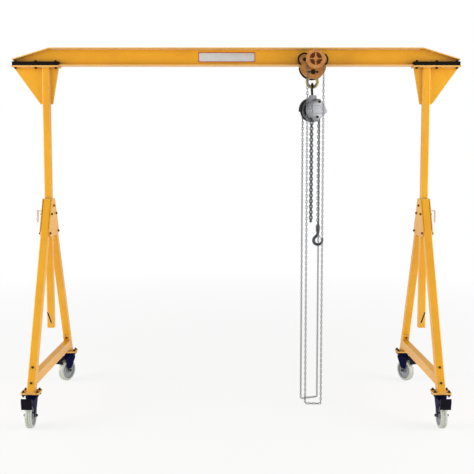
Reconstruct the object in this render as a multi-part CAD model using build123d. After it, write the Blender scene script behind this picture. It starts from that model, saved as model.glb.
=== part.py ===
from build123d import *
import os
from math import atan, cos, pi, radians, sin, sqrt, tan

os.makedirs("parts", exist_ok=True)

# Millimetres. x runs along the beam, y across it (away from the viewer), z up from the floor.
# Pieces are drawn with the beam over y = 0 and saved with the middle of the overall depth there.

# Clearances
seat_gap = 0.3               # between a piece and the seat that carries it
pin_gap = 0.3                # radial, between a pin and its bore
run_gap = 5.0                # between pieces that move past each other

# Beam and head brackets
beam_bottom = 2890.0
beam_length = 3772.0
beam_overhang = 276.0        # beam end beyond each post's centre line
beam_height = 150.0
beam_tip_height = 57.0
beam_taper = 311.0           # length of each sloping end
flange_width = 90.0
flange_thickness = 9.0
web_thickness = 7.0
bracket_inboard = 117.0      # head plate, from the post centre towards mid-span
bracket_outboard = 280.0
bracket_width = 120.0
bracket_thickness = 12.0
gusset_thickness = 10.0
gusset_drop = 308.0
gusset_foot_outboard = 22.0  # what is left of a gusset at its lower end
gusset_foot_inboard = 24.0
gusset_inset = 8.0           # gusset end from the head plate's end
clamp_height = 25.0
clamp_edge = 3.0             # clamp bar from the flange edge
clamp_web_gap = 3.0

# Posts
post_size = 60.0
post_wall = 5.0
post_corner = 8.0
post_foot = 650.0
slot_rise = 90.0             # middle of the slanted slot above the foot
slot_length = 105.0
slot_width = 13.0
slot_slant = 19.0            # degrees from the post's axis
slot_outboard = 8.0

# Leg frames
foot_thickness = 12.0
foot_width = 146.0           # along x
foot_depth = 128.0           # along y
foot_corner = 14.0
foot_y = 706.0               # leg centre line at the foot plate
head_y = 154.0               # leg centre line at the lower head bolts
head_bolt_rise = 33.0        # lower head bolts above the lower edge of the head plates
leg_size = 65.0
leg_wall = 4.0
leg_corner = 8.0
leg_post_gap = 6.0
head_bottom = 1450.0
head_top = 1770.0
head_thickness = 8.0
head_lip = 1.5               # head plate beyond the leg's outer face
head_round = 46.0
cross_height = 359.0
cross_width = 60.0
cross_depth = 75.0
cross_wall = 4.0
cross_plate_length = 176.0
cross_plate_rise = 14.0      # middle of the end plates above the middle of the bar
cross_plate_thickness = 8.0
lock_drop = 105.0            # lock below the upper edge of the head plates
lock_diameter = 14.0
lock_boss_diameter = 32.0
lock_boss_length = 14.0
lock_reach = 104.0           # grip centre from the post centre line
grip_diameter = 28.0
grip_length = 108.0

# Casters
wheel_diameter = 200.0
wheel_width = 52.0
wheel_hub_diameter = 52.0
wheel_hub_length = 58.0
wheel_rim_depth = 26.0
wheel_disc = 22.0
wheel_chamfer = 9.0
tread_groove = 4.0
caster_trail = 36.0
caster_plate = 8.0
caster_inset = 5.0           # caster plate inside the foot plate's edge
axle_diameter = 16.0
axle_nut_diameter = 24.0
axle_nut_length = 9.0
fork_side_gap = 2.5          # hub to fork
fork_thickness = 6.0
fork_top_gap = 20.0          # tread to fork crown
fork_crown = 12.0
fork_crown_front = 55.0      # end of the crown in front of the swivel axis
fork_waist = 11.0            # straight edge of each cheek above the axle
fork_back = 42.0
fork_ear = 92.0
fork_eye = 19.0
race_diameter = 88.0
race_height = 29.7
pedal_pin_diameter = 10.0
pedal_pin_reach = 80.0
pedal_eye = 11.0
pedal_neck = 44.0
pedal_width = 84.0
pedal_rise = 38.0            # top of the pad above the pin
pedal_drop = 50.0            # toe of the pad below the pin
pedal_reach = 164.0
pedal_arm = 10.0             # thickness of the arm where it meets the pad
pedal_arm_rise = 9.0         # and its height above the pin
pedal_root = 45.0            # depth of the pad at the arm
pedal_lip = 8.0
pedal_nose = 26.0
pedal_toe = 11.0
front_turn = 0.0             # degrees, caster pedals turned out from straight ahead
rear_turn = 28.0

# Trolley
trolley_x = 645.0
tread_radius = 40.0
rim_radius = 50.0
rim_width = 5.5
rim_gap = 2.0                # wheel rim to the flange edge
wheel_spread = 72.0          # wheel axles from the trolley's middle
axle_radius = 10.0
side_gap = 10.0              # side plate to the flange edge
side_thickness = 8.0
lobe_radius = 39.0
nose_radius = 68.0
nose_rise = 23.0             # middle of the plate's round lower end above the shaft
shaft_drop = 55.0            # suspension shaft below the beam
shaft_radius = 14.0
shaft_nut_radius = 22.0
shaft_nut_length = 17.0
spacer_radius = 21.0
chain_section = 10.0         # square envelope of a hand chain
chain_side_gap = 1.2
chain_floor_gap = 6.0
chain_corner = 30.0
drive_offset = 15.0
drive_rise = 101.0           # hand wheel axle above the suspension shaft
drive_y = -130.0
drive_radius = 80.0
drive_pitch_radius = 67.0
drive_width = 30.0
drive_hub_radius = 18.0
drive_shaft_radius = 10.0
drive_boss_radius = 20.0
drive_boss_length = 17.0
drive_disc = 8.0
drive_hole_radius = 13.0
drive_hole_circle = 37.0
pocket_flare = 1.0           # widening of a hand wheel's groove towards the rim

# Suspender and top hook
eye_radius = 28.0
eye_width = 44.0
ring_radius = 44.0           # to the middle of the bar
ring_bar = 13.0
ring_drop = 76.0             # ring centre below the shaft
hook_thickness = 20.0
hook_throat = 17.0           # radius
hook_bar = 22.0
hook_tip_drop = 16.0
hook_shank = 22.0
hook_shank_length = 68.0     # from the bowl's centre to the hoist's lug

# Hoist
hoist_offset = 17.0          # hoist axis from the trolley's middle
hoist_yaw = 22.0
body_radius = 80.0
body_front = -38.0
body_back = 22.0
body_flat = 66.0             # flat underside below the axis
back_radius = 100.0
back_thickness = 6.0
lug_width = 46.0
lug_top = 123.0
cover_radius = 86.0
cover_depth = 42.0
cover_lobe_radius = 24.0
cover_lobe_circle = 72.0
cover_lobe_angles = (80, -8, 262, 190)
cover_round = 9.0
panel_width = 112.0
panel_height = 74.0
panel_rise = 5.0
panel_round = 20.0
hand_y = 55.0
hand_radius = 97.0
hand_pitch_radius = 80.0
hand_width = 32.0
hand_hub_radius = 22.0
hand_shaft_radius = 10.0
hand_shaft_depth = 20.0
hand_disc = 9.0
guard_wall = 4.0
guard_gap = 5.0
guard_back = 80.0
guard_cut = -12.0            # lower edge of the guard from the axis

# Load chain, hook block and load hook
link_pitch = 24.0
link_bar = 7.2
link_width = 26.0
link_corner = 7.0
link_hole_corner = 2.0
sheave_x = 7.5
sheave_y = -8.0
sheave_radius = 34.5
load_links = 39              # from the hoist to the hook block
slack_links = 37             # in each strand of the slack loop; one more lies across its bottom
slack_turn = 60.0            # degrees, direction from one slack strand to the other
block_height = 40.0
block_pin_depth = 11.0       # pin below the top of the block
block_radius = 18.0
block_slot_gap = 1.0
block_pin_radius = 3.4
block_pin_reach = 14.4
block_chamfer = 3.0
throat_radius = 25.0
throat_shift = 3.0           # throat centre from the hook's axis, towards the mouth
bowl_radius = 49.0
neck_length = 89.0           # from the bowl's centre to the hook block
load_hook_thickness = 22.0
neck_width = 28.0
tip_radius = 11.0
tip_rise = 8.0               # tip centre above the bowl's centre
latch_x = 6.0                # latch pin from the hook's axis
latch_rise = 41.0            # and above the bowl's centre
latch_pin_radius = 3.0
latch_eye = 8.0
latch_wall = 2.0
latch_side_gap = 0.6
latch_top_reach = 24.0       # upper end of the strip from the hook's axis
latch_top_drop = 10.0        # and below the latch pin
latch_tip_reach = 23.0
latch_tip_rise = 5.0         # lower end above the bowl's centre

# Worked out from the above
post_x = beam_length / 2 - beam_overhang     # post centre line from mid-span
post_half = post_size / 2
head_bolt_height = head_bottom + head_bolt_rise
lock_height = head_top - lock_drop
shaft_height = beam_bottom - shaft_drop
hoist_x = trolley_x + hoist_offset
lug_x = -hoist_offset * cos(radians(hoist_yaw))
depth_shift = (pedal_reach - foot_depth / 2) / 2
post_top = beam_bottom - bracket_thickness
flange_top = beam_bottom + flange_thickness
slot_height = post_foot + slot_rise
crown_low = wheel_diameter + fork_top_gap
crown_high = crown_low + fork_crown
race_high = crown_high + race_height
caster_height = race_high + seat_gap + caster_plate
foot_top = caster_height + foot_thickness
leg_slope = (foot_y - head_y) / (head_bolt_height - foot_top)
leg_tilt = atan(leg_slope)
leg_half_depth = leg_size / 2 / cos(leg_tilt)
head_x = leg_size / 2                       # inner face of each head plate from the post centre
link_step = link_pitch - seat_gap           # from one link to the next
side_y = flange_width / 2 + side_gap        # inner face of each trolley side plate
trolley_axle = flange_top + tread_radius + seat_gap


def span(x0, x1, y0, y1, z0, z1):
    """Box between two corners."""
    size = Box(abs(x1 - x0), abs(y1 - y0), abs(z1 - z0))
    return Pos((x0 + x1) / 2, (y0 + y1) / 2, (z0 + z1) / 2) * size


def across(outline, y0, y1):
    """Outline drawn in x and z, made solid from y0 to y1."""
    plane = Plane(origin=(0, max(y0, y1), 0), x_dir=(1, 0, 0), z_dir=(0, -1, 0))
    return extrude(plane * outline, abs(y1 - y0))


def along(outline, x0, x1):
    """Outline drawn in y and z, made solid from x0 to x1."""
    plane = Plane(origin=(min(x0, x1), 0, 0), x_dir=(0, 1, 0), z_dir=(1, 0, 0))
    return extrude(plane * outline, abs(x1 - x0))


def shape(*points):
    """Closed outline through points."""
    return make_face(Polyline(*points, close=True))


def rod_x(x0, x1, y, z, radius):
    return Pos((x0 + x1) / 2, y, z) * Rot(0, 90, 0) * Cylinder(radius, abs(x1 - x0))


def rod_y(x, y0, y1, z, radius):
    return Pos(x, (y0 + y1) / 2, z) * Rot(90, 0, 0) * Cylinder(radius, abs(y1 - y0))


def turned_y(x, z, *profile):
    """Body of revolution about a line along y; profile points are (radius, y)."""
    face = shape(*[(r, y, 0) for r, y in profile])
    return Pos(x, 0, z) * revolve(face, Axis.Y)


def box_tube(size, wall, corner):
    inner = size - 2 * wall
    return RectangleRounded(size, size, corner) - RectangleRounded(inner, inner, max(corner - wall, 1))


def save(name, *solids):
    placed = [Pos(0, depth_shift, 0) * solid for solid in solids]
    piece = placed[0] if len(placed) == 1 else Compound(children=placed)
    export_step(piece, f"parts/{name}.step")


def sided(piece, side):
    """A piece drawn on the right side, or its mirror image on the left."""
    return piece if side == "right" else mirror(piece, about=Plane.YZ)


# Beam: web plate, flat lower flange and upper flange bent down at both ends

half_beam = beam_length / 2
beam_top = beam_bottom + beam_height
tip_top = beam_bottom + beam_tip_height
knee = half_beam - beam_taper
taper_angle = atan((beam_top - tip_top) / beam_taper)
knee_inside = knee - flange_thickness * tan(taper_angle / 2)
tip_inside = tip_top - flange_thickness / cos(taper_angle)
flange_under = beam_top - flange_thickness

flange_inside = [(half_beam, tip_inside), (knee_inside, flange_under),
                 (-knee_inside, flange_under), (-half_beam, tip_inside)]
flange_outside = [(-half_beam, tip_top), (-knee, beam_top), (knee, beam_top), (half_beam, tip_top)]
half_flange = flange_width / 2
half_web = web_thickness / 2

save("beam_web", across(shape((-half_beam, flange_top), (half_beam, flange_top), *flange_inside),
                        -half_web, half_web))
save("beam_top_flange", across(shape(*flange_outside, *flange_inside), -half_flange, half_flange))
save("beam_bottom_flange", span(-half_beam, half_beam, -half_flange, half_flange, beam_bottom, flange_top))


# Posts, head brackets and the bars that clamp the beam's lower flange to them

def post():
    section = box_tube(post_size, post_wall, post_corner)
    tube = Pos(post_x, 0, post_foot) * extrude(section, post_top - post_foot)
    slot = Rot(0, 0, 90 - slot_slant) * SlotOverall(slot_length, slot_width)
    return tube - across(Pos(post_x + slot_outboard, slot_height) * slot, -post_size, post_size)


def head_bracket():
    inner = post_x - bracket_inboard
    outer = post_x + bracket_outboard
    plate = span(inner, outer, -bracket_width / 2, bracket_width / 2, post_top, beam_bottom)
    low = post_top - gusset_drop
    face_out = post_x + post_half
    face_in = post_x - post_half
    outboard = shape((face_out, post_top), (outer - gusset_inset, post_top),
                     (face_out + gusset_foot_outboard, low), (face_out, low))
    inboard = shape((face_in, post_top), (inner + gusset_inset, post_top),
                    (face_in - gusset_foot_inboard, low), (face_in, low))
    half = gusset_thickness / 2
    return plate + across(outboard, -half, half) + across(inboard, -half, half)


def clamp_bar(face):
    near = half_web + clamp_web_gap
    far = half_flange - clamp_edge
    inner = post_x - bracket_inboard
    outer = min(post_x + bracket_outboard, half_beam)
    return span(inner, outer, face * near, face * far, flange_top, flange_top + clamp_height)


for side in ("left", "right"):
    save(f"{side}_post", sided(post(), side))
    save(f"{side}_head_bracket", sided(head_bracket(), side))
    save(f"{side}_clamp_bars", *[sided(clamp_bar(face), side) for face in (-1, 1)])


# Leg frames: two box legs on foot plates, head plates, cross bar and height lock

def leg_y(z):
    """Leg centre line from the middle of the frame at height z."""
    return foot_y - (z - foot_top) * leg_slope


def leg(face):
    direction = Vector(0, -face * leg_slope, 1).normalized()
    base = Plane(origin=(post_x, face * leg_y(0), 0), x_dir=(1, 0, 0), z_dir=direction)
    tube = extrude(base * box_tube(leg_size, leg_wall, leg_corner), 2 * head_top)
    near = post_half + leg_post_gap
    room = span(post_x - leg_size, post_x + leg_size, face * near, face * 2 * foot_y, foot_top, head_top)
    plate_outline = RectangleRounded(foot_width, foot_depth, foot_corner)
    plate = Pos(post_x, face * foot_y, caster_height) * extrude(plate_outline, foot_thickness)
    return (tube & room) + plate


def head_plate(x0, x1):
    top = leg_y(head_top) + leg_half_depth + head_lip
    low = leg_y(head_bottom) + leg_half_depth + head_lip
    outline = shape((-top, head_top), (top, head_top), (low, head_bottom), (-low, head_bottom))
    corners = outline.vertices().sort_by(Axis.Y)[:2]
    return along(fillet(corners, head_round), x0, x1)


def outer_head_plate():
    x0 = post_x + head_x
    x1 = x0 + head_thickness
    boss = rod_x(x0, x1 + lock_boss_length, 0, lock_height, lock_boss_diameter / 2)
    hole = rod_x(x0 - 1, x1 + lock_boss_length + 1, 0, lock_height, lock_diameter / 2 + pin_gap)
    return head_plate(x0, x1) + boss - hole


def cross_bar():
    flat = leg_half_depth + seat_gap / cos(leg_tilt)
    plate_depth = cross_plate_thickness / cos(leg_tilt)
    half = cross_width / 2
    rise = cross_plate_length / 2 * cos(leg_tilt)
    plate_height = cross_height + cross_plate_rise

    def inside(z, depth):
        return leg_y(z) - flat - depth

    low, high = cross_height - cross_depth / 2, cross_height + cross_depth / 2
    solid_outline = shape((-inside(low, 0), low), (inside(low, 0), low), (inside(high, 0), high),
                          (-inside(high, 0), high))
    core = span(post_x - half + cross_wall, post_x + half - cross_wall, -foot_y, foot_y,
                low + cross_wall, high - cross_wall)
    bar = along(solid_outline, post_x - half, post_x + half) - core
    for face in (-1, 1):
        z0, z1 = plate_height - rise, plate_height + rise
        plate = shape((face * inside(z0, 0), z0), (face * inside(z1, 0), z1),
                      (face * inside(z1, plate_depth), z1), (face * inside(z0, plate_depth), z0))
        bar += along(plate, post_x - half, post_x + half)
    return bar


def lock_screw():
    tip = post_x + post_half + seat_gap
    grip_x = post_x + lock_reach
    shank = rod_x(tip, grip_x, 0, lock_height, lock_diameter / 2)
    grip_middle = lock_height + lock_diameter / 2 - grip_length / 2
    grip = Pos(grip_x, 0, grip_middle) * Cylinder(grip_diameter / 2, grip_length)
    return shank + chamfer(grip.edges(), lock_diameter / 4)


def caster_plates():
    outline = RectangleRounded(foot_width - 2 * caster_inset, foot_depth - 2 * caster_inset, foot_corner)
    for face in (-1, 1):
        yield Pos(post_x, face * foot_y, caster_height - caster_plate) * extrude(outline, caster_plate)


for side in ("left", "right"):
    save(f"{side}_legs", *[sided(leg(face), side) for face in (-1, 1)])
    inner_face = post_x - head_x
    save(f"{side}_inner_head_plate", sided(head_plate(inner_face - head_thickness, inner_face), side))
    save(f"{side}_outer_head_plate", sided(outer_head_plate(), side))
    save(f"{side}_cross_bar", sided(cross_bar(), side))
    save(f"{side}_lock_screw", sided(lock_screw(), side))
    save(f"{side}_caster_plates", *[sided(plate, side) for plate in caster_plates()])


# Casters, drawn with the swivel axis on z and the wheel trailing towards +x

wheel_radius = wheel_diameter / 2
fork_inside = wheel_hub_length / 2 + fork_side_gap
fork_outside = fork_inside + fork_thickness
pedal_pin_height = crown_high - pedal_eye + fork_crown / 2
pedal_top = pedal_pin_height + pedal_rise
pedal_bottom = pedal_pin_height - pedal_drop


def caster_fork():
    waist = wheel_radius + fork_waist
    eye_back, eye_front = caster_trail - fork_eye, caster_trail + fork_eye
    cheek = shape((-fork_back, crown_high), (fork_ear, crown_high), (fork_ear, pedal_pin_height - pedal_eye),
                  (eye_front, waist), (eye_front, wheel_radius), (eye_back, wheel_radius), (eye_back, waist),
                  (-fork_back, crown_low - fork_crown))
    cheek += Pos(caster_trail, wheel_radius) * Circle(fork_eye)
    fork = span(-fork_back, fork_crown_front, -fork_outside, fork_outside, crown_low, crown_high)
    fork += Pos(0, 0, (crown_high + race_high) / 2) * Cylinder(race_diameter / 2, race_high - crown_high)
    for face in (-1, 1):
        fork += across(cheek, face * fork_inside, face * fork_outside)
        fork += rod_y(caster_trail, face * fork_outside, face * (fork_outside + axle_nut_length),
                      wheel_radius, axle_nut_diameter / 2)
    for x, z, diameter in ((caster_trail, wheel_radius, axle_diameter),
                           (pedal_pin_reach, pedal_pin_height, pedal_pin_diameter)):
        fork += rod_y(x, -fork_outside, fork_outside, z, diameter / 2)
    return fork


def caster_wheel():
    bore = axle_diameter / 2 + pin_gap
    hub, rim = wheel_hub_diameter / 2, wheel_radius - wheel_rim_depth
    half, hub_half, disc = wheel_width / 2, wheel_hub_length / 2, wheel_disc / 2
    one_side = [(bore, hub_half), (hub, hub_half), (hub + wheel_chamfer / 2, disc), (rim, disc),
                (rim + wheel_chamfer / 2, half), (wheel_radius - wheel_chamfer, half),
                (wheel_radius, half - wheel_chamfer), (wheel_radius, tread_groove),
                (wheel_radius - tread_groove, 0)]
    other_side = [(r, -y) for r, y in reversed(one_side[:-1])]
    return turned_y(caster_trail, wheel_radius, *one_side, *other_side)


def brake_pedal():
    pin_x, pin_z, tip = pedal_pin_reach, pedal_pin_height, pedal_reach
    arm_end, arm_z = tip - pedal_root / 2, pin_z + pedal_arm_rise
    neck = shape((pin_x, pin_z - pedal_eye), (arm_end, arm_z - pedal_arm / 2),
                 (arm_end, arm_z + pedal_arm / 2), (pin_x, pin_z + pedal_eye))
    neck += Pos(pin_x, pin_z) * Circle(pedal_eye)
    pad = shape((tip - pedal_root, pin_z + pedal_lip / 2), (tip - pedal_lip, pedal_top),
                (tip, pedal_top - pedal_lip / 2), (tip, pedal_top - pedal_nose),
                (tip - pedal_toe, pedal_bottom), (tip - 2 * pedal_toe, pedal_bottom),
                (tip - 2 * pedal_lip, pin_z - pedal_arm), (tip - pedal_root, pin_z - pedal_lip / 2))
    pedal = across(neck, -pedal_neck / 2, pedal_neck / 2) + across(pad, -pedal_width / 2, pedal_width / 2)
    return pedal - rod_y(pin_x, -pedal_width, pedal_width, pin_z, pedal_pin_diameter / 2 + pin_gap)


for side, sign in (("left", -1), ("right", 1)):
    for end, face, turn in (("front", -1, front_turn), ("rear", 1, rear_turn)):
        place = Pos(sign * post_x, face * foot_y, 0) * Rot(0, 0, -90 + sign * turn)
        save(f"{side}_{end}_fork", place * caster_fork())
        save(f"{side}_{end}_wheel", place * caster_wheel())
        save(f"{side}_{end}_pedal", place * brake_pedal())


# Trolley: side plates with wheel axles, four wheels, suspension shaft, hand wheel and its chain

drive_x = trolley_x + drive_offset
drive_height = shaft_height + drive_rise


def side_plate(face):
    lobes = [Pos(trolley_x + k * wheel_spread, trolley_axle) * Circle(lobe_radius) for k in (-1, 1)]
    nose = Pos(trolley_x, shaft_height + nose_rise) * Circle(nose_radius)
    outline = make_hull([edge for disc in (*lobes, nose) for edge in disc.edges()])
    outer = side_y + side_thickness
    plate = across(outline, face * side_y, face * outer)
    for k in (-1, 1):
        plate += rod_y(trolley_x + k * wheel_spread, face * (half_web + 2 * run_gap), face * outer,
                       trolley_axle, axle_radius)
    plate -= rod_y(trolley_x, face * (side_y - 1), face * (outer + 1), shaft_height, shaft_radius + pin_gap)
    if face < 0:
        plate += rod_y(drive_x, -outer, -outer - drive_boss_length, drive_height, drive_boss_radius)
        plate -= rod_y(drive_x, -side_y + 1, -outer - drive_boss_length - 1, drive_height,
                       drive_shaft_radius + pin_gap)
    return plate


def trolley_wheel(k, face):
    tread_in = half_web + run_gap
    rim_in = half_flange + rim_gap
    rim_out = rim_in + rim_width
    bore = axle_radius + pin_gap
    profile = [(bore, face * tread_in), (tread_radius, face * tread_in), (tread_radius, face * rim_in),
               (rim_radius, face * rim_in), (rim_radius, face * rim_out), (bore, face * rim_out)]
    return turned_y(trolley_x + k * wheel_spread, trolley_axle, *profile)


def suspension_shaft():
    outer = side_y + side_thickness
    shaft = rod_y(trolley_x, -outer - shaft_nut_length, outer + shaft_nut_length, shaft_height, shaft_radius)
    nut = Pos(trolley_x, shaft_height) * RegularPolygon(shaft_nut_radius, 6)
    for face in (-1, 1):
        shaft += across(nut, face * (outer + seat_gap), face * (outer + shaft_nut_length))
        shaft += rod_y(trolley_x, face * (eye_width / 2 + seat_gap), face * (side_y - seat_gap),
                       shaft_height, spacer_radius)
    return shaft


def hand_wheel(radius, pitch_radius, width, hub_radius, disc, hub_back, hub_front):
    """Pocket wheel for a hand chain, turned about y; the rim is centred on y = 0."""
    half, groove = width / 2, chain_section / 2 + chain_side_gap
    floor_radius = pitch_radius - chain_section / 2 - seat_gap
    inner = floor_radius - (half - groove)
    flare = groove + pocket_flare
    return [(0, hub_back), (hub_radius, hub_back), (hub_radius, -disc / 2), (inner, -disc / 2),
            (inner, -half), (radius, -half), (radius, -flare), (floor_radius, -groove),
            (floor_radius, groove), (radius, flare), (radius, half), (inner, half),
            (inner, disc / 2), (hub_radius, disc / 2), (hub_radius, hub_front), (0, hub_front)]


def hand_chain(x, pitch_radius, axle_height):
    """Hanging loop drawn in x and z: over the wheel and down to just above the floor."""
    half = chain_section / 2

    def outline(grow):
        reach = pitch_radius + grow
        low = chain_floor_gap + half - grow
        loop = Pos(x, (axle_height + low) / 2) * Rectangle(2 * reach, axle_height - low)
        loop = fillet(loop.vertices().sort_by(Axis.Y)[:2], chain_corner + grow)
        return loop + Pos(x, axle_height) * Circle(reach)

    return outline(half) - outline(-half)


def drive_wheel():
    hub_front, hub_back = -drive_width / 2, side_y + side_thickness + drive_boss_length + seat_gap + drive_y
    profile = hand_wheel(drive_radius, drive_pitch_radius, drive_width, drive_hub_radius, drive_disc,
                         hub_front, -hub_back)
    wheel = turned_y(drive_x, drive_height, *[(r, drive_y + y) for r, y in profile])
    wheel += rod_y(drive_x, drive_y, -side_y, drive_height, drive_shaft_radius)
    for k in range(4):
        angle = radians(45 + 90 * k)
        wheel -= rod_y(drive_x + drive_hole_circle * cos(angle), drive_y - drive_disc, drive_y + drive_disc,
                       drive_height + drive_hole_circle * sin(angle), drive_hole_radius)
    return wheel


save("trolley_side_plates", side_plate(-1), side_plate(1))
for side, k in (("left", -1), ("right", 1)):
    save(f"trolley_front_{side}_wheel", trolley_wheel(k, -1))
    save(f"trolley_rear_{side}_wheel", trolley_wheel(k, 1))
save("suspension_shaft", suspension_shaft())
save("trolley_hand_wheel", drive_wheel())
save("trolley_hand_chain", across(hand_chain(drive_x, drive_pitch_radius, drive_height),
                                  drive_y - chain_section / 2, drive_y + chain_section / 2))


# Suspender ring on the shaft, and the hoist's top hook in the ring

ring_height = shaft_height - ring_drop


def suspender():
    eye = rod_y(trolley_x, -eye_width / 2, eye_width / 2, shaft_height, eye_radius)
    ring = Pos(trolley_x, 0, ring_height) * Rot(90, 0, 0) * Torus(ring_radius, ring_bar)
    bore = rod_y(trolley_x, -eye_width, eye_width, shaft_height, shaft_radius + pin_gap)
    return eye + ring - bore


ring_inside = ring_radius - ring_bar
ring_rise = ring_inside - sqrt(ring_inside ** 2 - (hook_thickness / 2) ** 2)
hook_centre = ring_height - ring_inside + ring_rise + seat_gap - hook_throat
lug_height = hook_centre - hook_shank_length
hoist_height = lug_height - lug_top


def top_hook():
    inner = hook_throat
    outer = inner + hook_bar
    bowl = Pos(0, hook_centre) * (Circle(outer) - Circle(inner))
    mouth = Pos(-outer, hook_centre - hook_tip_drop - outer / 2) * Rectangle(2 * outer, outer)
    shank = shape((-hook_shank / 2, lug_height), (hook_shank / 2, lug_height), (outer, hook_centre),
                  (inner, hook_centre), (0, hook_centre - inner), (-hook_shank / 2, hook_centre - outer))
    outline = bowl - mouth + shank
    outline -= Pos(0, hook_centre) * Circle(inner)
    return along(outline, trolley_x - hook_thickness / 2, trolley_x + hook_thickness / 2)


save("suspender", suspender())
save("top_hook", top_hook())


# Hoist, drawn about its own axle along y and then turned to its hanging position

hoist_place = Pos(hoist_x, 0, hoist_height) * Rot(0, 0, hoist_yaw)


def hoist_body():
    low = Pos(0, -body_flat - body_radius / 2) * Rectangle(2 * body_radius, body_radius)
    outline = Circle(body_radius) - low
    body = across(outline, body_front, body_back)
    body += across(Circle(back_radius), body_back, body_back + back_thickness)
    lug = shape((lug_x - lug_width, 0), (lug_x + lug_width, 0), (lug_x + lug_width / 2, lug_top),
                (lug_x - lug_width / 2, lug_top))
    body += across(lug, body_front + hook_thickness / 2, body_back)
    depth = body_back + back_thickness
    return body - rod_y(0, depth - hand_shaft_depth, depth + 1, 0, hand_shaft_radius + pin_gap)


def gear_cover():
    outline = Circle(cover_radius)
    for angle in cover_lobe_angles:
        outline += Rot(0, 0, angle) * Pos(cover_lobe_circle, 0) * Circle(cover_lobe_radius)
    cover = across(outline, body_front - cover_depth, body_front)
    front_edges = cover.faces().sort_by(Axis.Y)[0].edges()
    cover = fillet(front_edges, cover_round)
    panel = across(RectangleRounded(panel_width, panel_height, panel_round),
                   body_front - cover_depth - panel_rise, body_front - cover_depth)
    return cover + panel


def hoist_hand_wheel():
    depth = body_back + back_thickness
    profile = hand_wheel(hand_radius, hand_pitch_radius, hand_width, hand_hub_radius, hand_disc,
                         -hand_width / 2, hand_width / 2)
    wheel = turned_y(0, 0, *[(r, hand_y + y) for r, y in profile])
    return wheel + rod_y(0, depth - hand_shaft_depth + seat_gap, hand_y, 0, hand_shaft_radius)


def wheel_guard():
    inner = hand_radius + guard_gap
    outer = inner + guard_wall
    front = body_back + back_thickness
    low = Pos(0, guard_cut - outer) * Rectangle(3 * outer, 2 * outer)
    hoop = across(Circle(outer) - Circle(inner) - low, front - back_thickness, guard_back)
    flange = across(Circle(outer) - Circle(back_radius + seat_gap) - low, front - back_thickness, front)
    back = across(Circle(outer) - low, guard_back - guard_wall, guard_back)
    return hoop + flange + back


chain_place = hoist_place * Pos(0, hand_y, 0)
save("hoist_body", hoist_place * hoist_body())
save("hoist_gear_cover", hoist_place * gear_cover())
save("hoist_hand_wheel", hoist_place * hoist_hand_wheel())
save("hoist_wheel_guard", hoist_place * wheel_guard())
loop_outline = Pos(0, -hoist_height) * hand_chain(0, hand_pitch_radius, hoist_height)
save("hoist_hand_chain", chain_place * across(loop_outline, -chain_section / 2, chain_section / 2))


# Load chain: interlocked links from the hoist to the hook block, and the slack loop beside it

def link_outline(half_width, half_length, corner):
    w, h, c = half_width, half_length, corner
    return shape((w, h - c), (w - c, h), (c - w, h), (-w, h - c),
                 (-w, c - h), (c - w, -h), (w - c, -h), (w, c - h))


def chain_link():
    """One flat-sided link lying in x and y, its length along y."""
    hole_length = link_pitch / 2
    ring = link_outline(link_width / 2, hole_length + link_bar, link_corner)
    ring -= link_outline(link_width / 2 - link_bar, hole_length, link_hole_corner)
    return extrude(ring, link_bar / 2, both=True)


def hung_link(middle, run, normal):
    """A link with its length along run and its flat sides facing normal."""
    return Plane(origin=middle, x_dir=run.cross(normal), z_dir=normal) * chain_link()


def hoist_point(x, y, z):
    """Point at (x, y) from the hoist's axis, at height z above the floor."""
    turn = radians(hoist_yaw)
    return Vector(hoist_x + x * cos(turn) - y * sin(turn), x * sin(turn) + y * cos(turn), z)


def link_height(k):
    """Middle of the link that has k links above it."""
    return chain_top - (k + 0.5) * link_step


def strand(x, y, count, last_normal):
    """Hanging links, each a quarter turn from the one below; the last one faces last_normal."""
    down = Vector(0, 0, -1)
    for k in range(count):
        normal = last_normal if (count - k) % 2 else down.cross(last_normal)
        yield hung_link(hoist_point(x, y, link_height(k)), down, normal)


chain_top = hoist_height - body_flat - seat_gap - link_bar
hoist_axle = hoist_point(0, 1, 0) - hoist_point(0, 0, 0)
load_x = sheave_x + sheave_radius
save("load_chain", *strand(load_x, sheave_y, load_links, hoist_axle))

slack_x = sheave_x - sheave_radius
link_reach = (link_pitch + link_bar) / 2    # from a link's middle to the middle of its end bar
bottom_height = link_height(slack_links - 1) - (link_reach - link_bar - seat_gap)
bottom_middle = hoist_point(slack_x, sheave_y, bottom_height)
turn = radians(slack_turn)
slack_strands = [(slack_x + k * link_reach * cos(turn), sheave_y + k * link_reach * sin(turn))
                 for k in (-1, 1)]
slack_run = (hoist_point(*slack_strands[1], bottom_height) - bottom_middle).normalized()
up = Vector(0, 0, 1)
slack_loop = [hung_link(bottom_middle, slack_run, up)]
for x, y in slack_strands:
    slack_loop += strand(x, y, slack_links, slack_run.cross(up))
save("slack_chain", *slack_loop)


# Hook block on the last link, load hook below it and its safety latch

last_link = link_height(load_links - 1)
hook_axis = hoist_point(load_x, sheave_y, 0)
block_pin = last_link - link_pitch / 2 + seat_gap + block_pin_radius
block_top = block_pin + block_pin_depth
block_bottom = block_top - block_height
bowl_height = block_bottom - seat_gap - neck_length
tip_height = bowl_height + tip_rise
latch_height = bowl_height + latch_rise


def hook_block():
    block = Cylinder(block_radius, block_top - block_bottom)
    block = chamfer(block.edges().group_by(Axis.Z)[-1], block_chamfer)
    block = Pos(0, 0, (block_top + block_bottom) / 2) * block
    pocket_low = last_link - link_pitch / 2 - link_bar - block_slot_gap
    half_slot = link_bar / 2 + block_slot_gap
    slot = span(-2 * block_radius, 2 * block_radius, -half_slot, half_slot, pocket_low, block_top + 1)
    pin = rod_y(0, -block_pin_reach, block_pin_reach, block_pin, block_pin_radius)
    return block - slot + pin


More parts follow.
